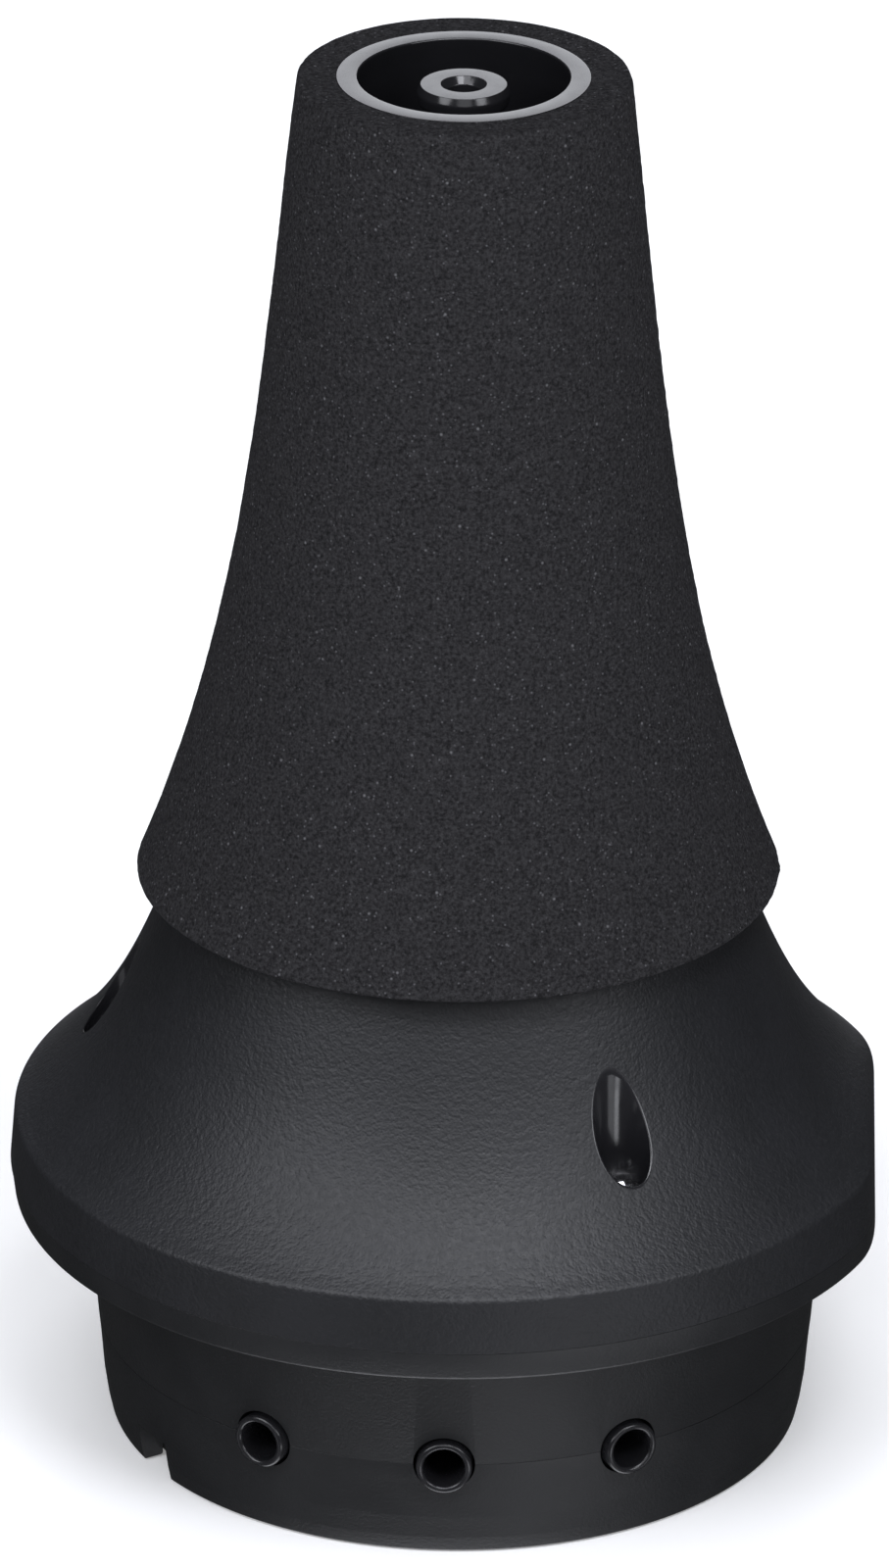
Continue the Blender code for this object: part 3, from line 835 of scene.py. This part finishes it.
def base_ring():
    """The foot below the parting line, with the notch in its edge."""
    high = PARTING_Z - HAIRLINE / 2
    outline = rounded([
        (34.15, 0.0, 0.22),
        (34.5, 1.6, 1.5),
        (34.85, 4.0, 3.0),
        (35.15, 7.8, 3.0),
        (WALL_PARTING_RADIUS, high, 0.05),
        (RING_BORE, high),
        (RING_BORE, RING_BORE_BOTTOM_Z),
        (RING_STEP_BORE, RING_BORE_BOTTOM_Z),
        (RING_STEP_BORE, LEDGE_TOP_Z),
        (LEDGE_BORE, LEDGE_TOP_Z),
        (LEDGE_BORE, LEDGE_BOTTOM_Z),
        (RIM_BORE, LEDGE_BOTTOM_Z),
        (RIM_BORE, 0.0, 0.25),
    ])
    base = turned("base_ring_body", outline, SATIN, 288)
    cut_vent_holes(base)
    notch = block("notch", NOTCH_SIZE, SATIN)
    notch_middle = -(NOTCH_INNER + NOTCH_SIZE[1] / 2)
    notch.data.transform(Matrix.Translation((0.0, notch_middle * MM, 0.0)))
    notch.data.transform(Matrix.Rotation(math.radians(NOTCH_AZIMUTH), 4, "Z"))
    cut(base, notch)
    return base


def cut_vent_holes(wall):
    near, far = VENT_HOLE_REACH
    for azimuth in VENT_AZIMUTHS.values():
        outline = [(0.0, near), (VENT_HOLE_RADIUS, near), (VENT_HOLE_RADIUS, far), (0.0, far)]
        hole = turned("hole", outline, SATIN, 72)
        lay_radially(hole, azimuth, PARTING_Z)
        cut(wall, hole)


def end_plate():
    """The push-in plate: a disc, and a hollow plug with its seal's groove."""
    outline = rounded([
        (0.0, 0.0),
        (PLATE_RADIUS, 0.0, 0.4),
        (PLATE_RADIUS, FLANGE_TOP_Z, 0.12),
        (PLUG_RADIUS, FLANGE_TOP_Z),
        (PLUG_RADIUS, SEAL_GROOVE_Z[0]),
        (SEAL_GROOVE_RADIUS, SEAL_GROOVE_Z[0]),
        (SEAL_GROOVE_RADIUS, SEAL_GROOVE_Z[1]),
        (PLUG_RADIUS, SEAL_GROOVE_Z[1]),
        (PLUG_RADIUS, PLUG_TOP_Z, 0.35),
        (PLUG_BORE, PLUG_TOP_Z, 0.2),
        (PLUG_BORE, FLANGE_TOP_Z),
        (0.0, FLANGE_TOP_Z),
    ])
    return turned("end_plate_disc", outline, SATIN, 192)


def central_tube():
    """The tube, and its head with a sharp-edged flat top, a bulging side and a coned mouth."""
    mouth_radius, mouth_depth = TUBE_MOUTH
    outline = rounded([
        (TUBE_BORE, TUBE_BOTTOM_Z),
        (TUBE_RADIUS, TUBE_BOTTOM_Z),
        (TUBE_RADIUS, TUBE_TOP_Z - 2.2, 0.1),
        (TUBE_HEAD_RADIUS - 0.25, TUBE_TOP_Z - 2.1, 0.7),
        (TUBE_HEAD_RADIUS - 0.15, TUBE_TOP_Z - 0.75, 0.7),
        (TUBE_TOP_RADIUS, TUBE_TOP_Z, 0.07),
        (mouth_radius, TUBE_TOP_Z, 0.12),
        (TUBE_BORE, TUBE_TOP_Z - mouth_depth, 0.2),
    ], pieces=8)
    return turned("central_tube_body", outline, GLOSS, 128)


def vent_tube(side, azimuth):
    """A vent tube, whose outer end is rounded right over."""
    outline = rounded([
        (VENT_BORE_RADIUS, VENT_INNER_END, 0.1),
        (VENT_OUTER_RADIUS, VENT_INNER_END, 0.3),
        (VENT_OUTER_RADIUS, VENT_OUTER_END, VENT_LIP),
        (VENT_BORE_RADIUS, VENT_OUTER_END, VENT_LIP),
    ], pieces=8)
    tube = turned(f"vent_tube_{side}_body", outline, VENT_GLOSS, 96)
    lay_radially(tube, azimuth, PARTING_Z)
    return tube


def case_screw(number, azimuth):
    """A pan-head screw with a cross recess and a cut thread."""
    seat = POCKET_FLOOR_Z + 0.1
    outline = rounded([
        (0.0, seat),
        (HEAD_RADIUS, seat, 0.15),
        (HEAD_RADIUS, SCREW_TOP_Z - 0.75, 0.3),
        (1.75, SCREW_TOP_Z - 0.16, 0.5),
        (0.0, SCREW_TOP_Z - 0.01),
    ])
    screw = turned(f"case_screw_{number}_body", outline, STEEL, 96)
    for turn in (0, 90):
        recess = block("recess", RECESS_SIZE, STEEL, RECESS_TAPER)
        recess.data.transform(Matrix.Translation((0.0, 0.0, (SCREW_TOP_Z - RECESS_DROP) * MM)))
        recess.data.transform(Matrix.Rotation(math.radians(turn), 4, "Z"))
        cut(screw, recess)
    join_meshes(screw, screw_shank(seat))
    spin = Matrix.Rotation(math.radians(azimuth + RECESS_SPIN), 4, "Z")
    screw.data.transform(Matrix.Translation(polar(SCREW_CIRCLE, azimuth, 0.0)) @ spin)
    return screw


def screw_shank(seat):
    """A threaded shank: a fine grid whose radius rises along a helix."""
    pitch, core, crest, columns = 0.9, 0.95, 1.25, 48
    heights = steps(seat + 0.05, SCREW_BOTTOM_Z, 0.09)
    points = []
    for z in heights:
        for azimuth in even_azimuths(columns):
            turn = (z / pitch + azimuth / 360.0) % 1.0
            ridge = max(0.0, 1.0 - abs(turn - 0.5) / 0.28)
            taper = min(1.0, 0.35 + (z - SCREW_BOTTOM_Z) / 1.6)
            radius = (core + (crest - core) * ridge) * taper
            angle = math.radians(azimuth)
            points.append((radius * math.sin(angle), -radius * math.cos(angle), z))
    faces = grid_faces(len(heights), columns, closed=False)
    faces.append(tuple(range(columns)))
    faces.append(tuple(range((len(heights) - 1) * columns, len(heights) * columns)))
    return make_object("shank", points, faces, [STEEL])


def place(piece, body, node):
    """Rides a piece on a body in place of a CAD node."""
    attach(piece, body)
    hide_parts(node)
    return piece


def build_pieces():
    sleeve = place(foam_sleeve(), CASING, "foam_sleeve")
    for node in ("upper_absorber", "lower_absorber"):
        place(absorber(node), CASING, node)
    place(bell_shell(), CASING, "bell_shell")
    place(lower_casing(), CASING, "lower_casing")
    place(base_ring(), CASING, "base_ring")
    place(central_tube(), CASING, "central_tube")
    place(end_plate(), PLATE, "end_plate")
    for side, azimuth in VENT_AZIMUTHS.items():
        place(vent_tube(side, azimuth), CASING, f"vent_tube_{side}")
    for number, azimuth in enumerate(SCREW_AZIMUTHS, start=1):
        place(case_screw(number, azimuth), CASING, f"case_screw_{number}")
    kept = {"inner_baffle": SATIN, "case_gasket": RUBBER, "end_plate_seal": RUBBER}
    kept.update({f"vent_seal_{side}": RUBBER for side in VENT_AZIMUTHS})
    for node, material in kept.items():
        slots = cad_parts[node].material_slots
        slots[0].link = "OBJECT"
        slots[0].material = material


# ---------------------------------------------------------------- stage

CAMERA_AZIMUTH = 1.6
CAMERA_ELEVATION = 24.39
CAMERA_ROLL = 0.38
CAMERA_DISTANCE = 1107.1
CAMERA_TARGET = (-1.38, 0.0, 66.06)
CAMERA_LENS = 261.4
SENSOR_WIDTH = 36.0
CLIP_NEAR, CLIP_FAR = 0.05, 20.0  # metres


def camera():
    data = bpy.data.cameras.new("camera")
    data.sensor_width = SENSOR_WIDTH
    data.lens = CAMERA_LENS
    data.clip_start = CLIP_NEAR
    data.clip_end = CLIP_FAR
    camera_object = bpy.data.objects.new("camera", data)
    bpy.context.scene.collection.objects.link(camera_object)
    tilt = math.radians(CAMERA_ELEVATION)
    roll = math.radians(CAMERA_ROLL)
    back = Vector((0.0, -math.cos(tilt), math.sin(tilt)))
    up_level = Vector((0.0, math.sin(tilt), math.cos(tilt)))
    right = Vector((1.0, 0.0, 0.0)) * math.cos(roll) + up_level * math.sin(roll)
    up = back.cross(right)
    pose = Matrix((right, up, back)).transposed().to_4x4()
    pose.translation = (Vector(CAMERA_TARGET) + back * CAMERA_DISTANCE) * MM
    camera_object.matrix_world = Matrix.Rotation(math.radians(CAMERA_AZIMUTH), 4, "Z") @ pose
    bpy.context.scene.camera = camera_object


# Softboxes so large and far that each lights the whole floor evenly: azimuth and elevation as
# seen from the mute, apparent size in degrees, and strength. The bounces stand for light that the
# pale table throws up.
LIGHTS = {
    "key_right": (28, 59, 24, 1.25),
    "key_left": (-19, 60, 32, 0.84),
    "side_left": (-52, 37, 34, 1.15),
    "side_right": (50, 30, 24, 0.67),
    "front_low": (4, 30, 34, 0.31),
    "back_high": (180, 60, 36, 0.64),
    "back_low": (180, 14, 36, 0.60),
    "bounce_left": (-50, -24, 24, 0.08),
    "bounce_right": (27, -24, 16, 0.25),
    "bounce_far_right": (50, -24, 24, 0.18),
    "bounce_under": (0, -50, 36, 0.06),
    "bounce_below": (0, -84, 50, 1.20),
}
LIGHT_COLOUR = (0.965, 0.98, 1.04)
WORLD_STRENGTH = 0.035
FLOOR_GLOW = 0.22  # a faintly lit table, which keeps the shadows pale
FLOOR_GREY = 0.86
FLOOR_HALF_WIDTH = 4.0  # metres
FLOOR_DROP = 0.0002  # metres below the model, so that the two don't touch


def lights():
    for name, (azimuth, elevation, width, strength) in LIGHTS.items():
        data = bpy.data.lights.new(name, "SUN")
        data.angle = math.radians(width)
        data.energy = strength
        data.color = LIGHT_COLOUR
        lamp = bpy.data.objects.new(name, data)
        bpy.context.scene.collection.objects.link(lamp)
        rise = math.radians(elevation)
        risen = Vector((0, -math.cos(rise), math.sin(rise)))
        away = Matrix.Rotation(math.radians(azimuth), 3, "Z") @ risen
        lamp.rotation_mode = "QUATERNION"
        lamp.rotation_quaternion = away.to_track_quat("Z", "Y")
    world = bpy.data.worlds.new("studio")
    world.use_nodes = True
    sky = world.node_tree.nodes["Background"]
    sky.inputs["Color"].default_value = (0.98, 0.99, 1.0, 1.0)
    sky.inputs["Strength"].default_value = WORLD_STRENGTH
    bpy.context.scene.world = world


def floor():
    """A pale table. It is left out of reflections, and light from below passes through it."""
    shape = bmesh.new()
    bmesh.ops.create_grid(shape, x_segments=1, y_segments=1, size=FLOOR_HALF_WIDTH)
    mesh = bpy.data.meshes.new("floor")
    shape.to_mesh(mesh)
    shape.free()
    pale = bpy.data.materials.new("floor_pale")
    pale.use_nodes = True
    shader = pale.node_tree.nodes["Principled BSDF"]
    shader.inputs["Base Color"].default_value = (FLOOR_GREY, FLOOR_GREY, FLOOR_GREY, 1.0)
    shader.inputs["Roughness"].default_value = 0.9
    shader.inputs["Emission Color"].default_value = (1.0, 1.0, 1.0, 1.0)
    shader.inputs["Emission Strength"].default_value = FLOOR_GLOW
    mesh.materials.append(pale)
    stage = bpy.data.objects.new("floor", mesh)
    bpy.context.scene.collection.objects.link(stage)
    stage.location.z = cad_box[0].z - FLOOR_DROP
    stage.visible_glossy = False
    stage.visible_shadow = False


build_pieces()
camera()
lights()
floor()
bpy.context.scene.view_settings.view_transform = "Standard"
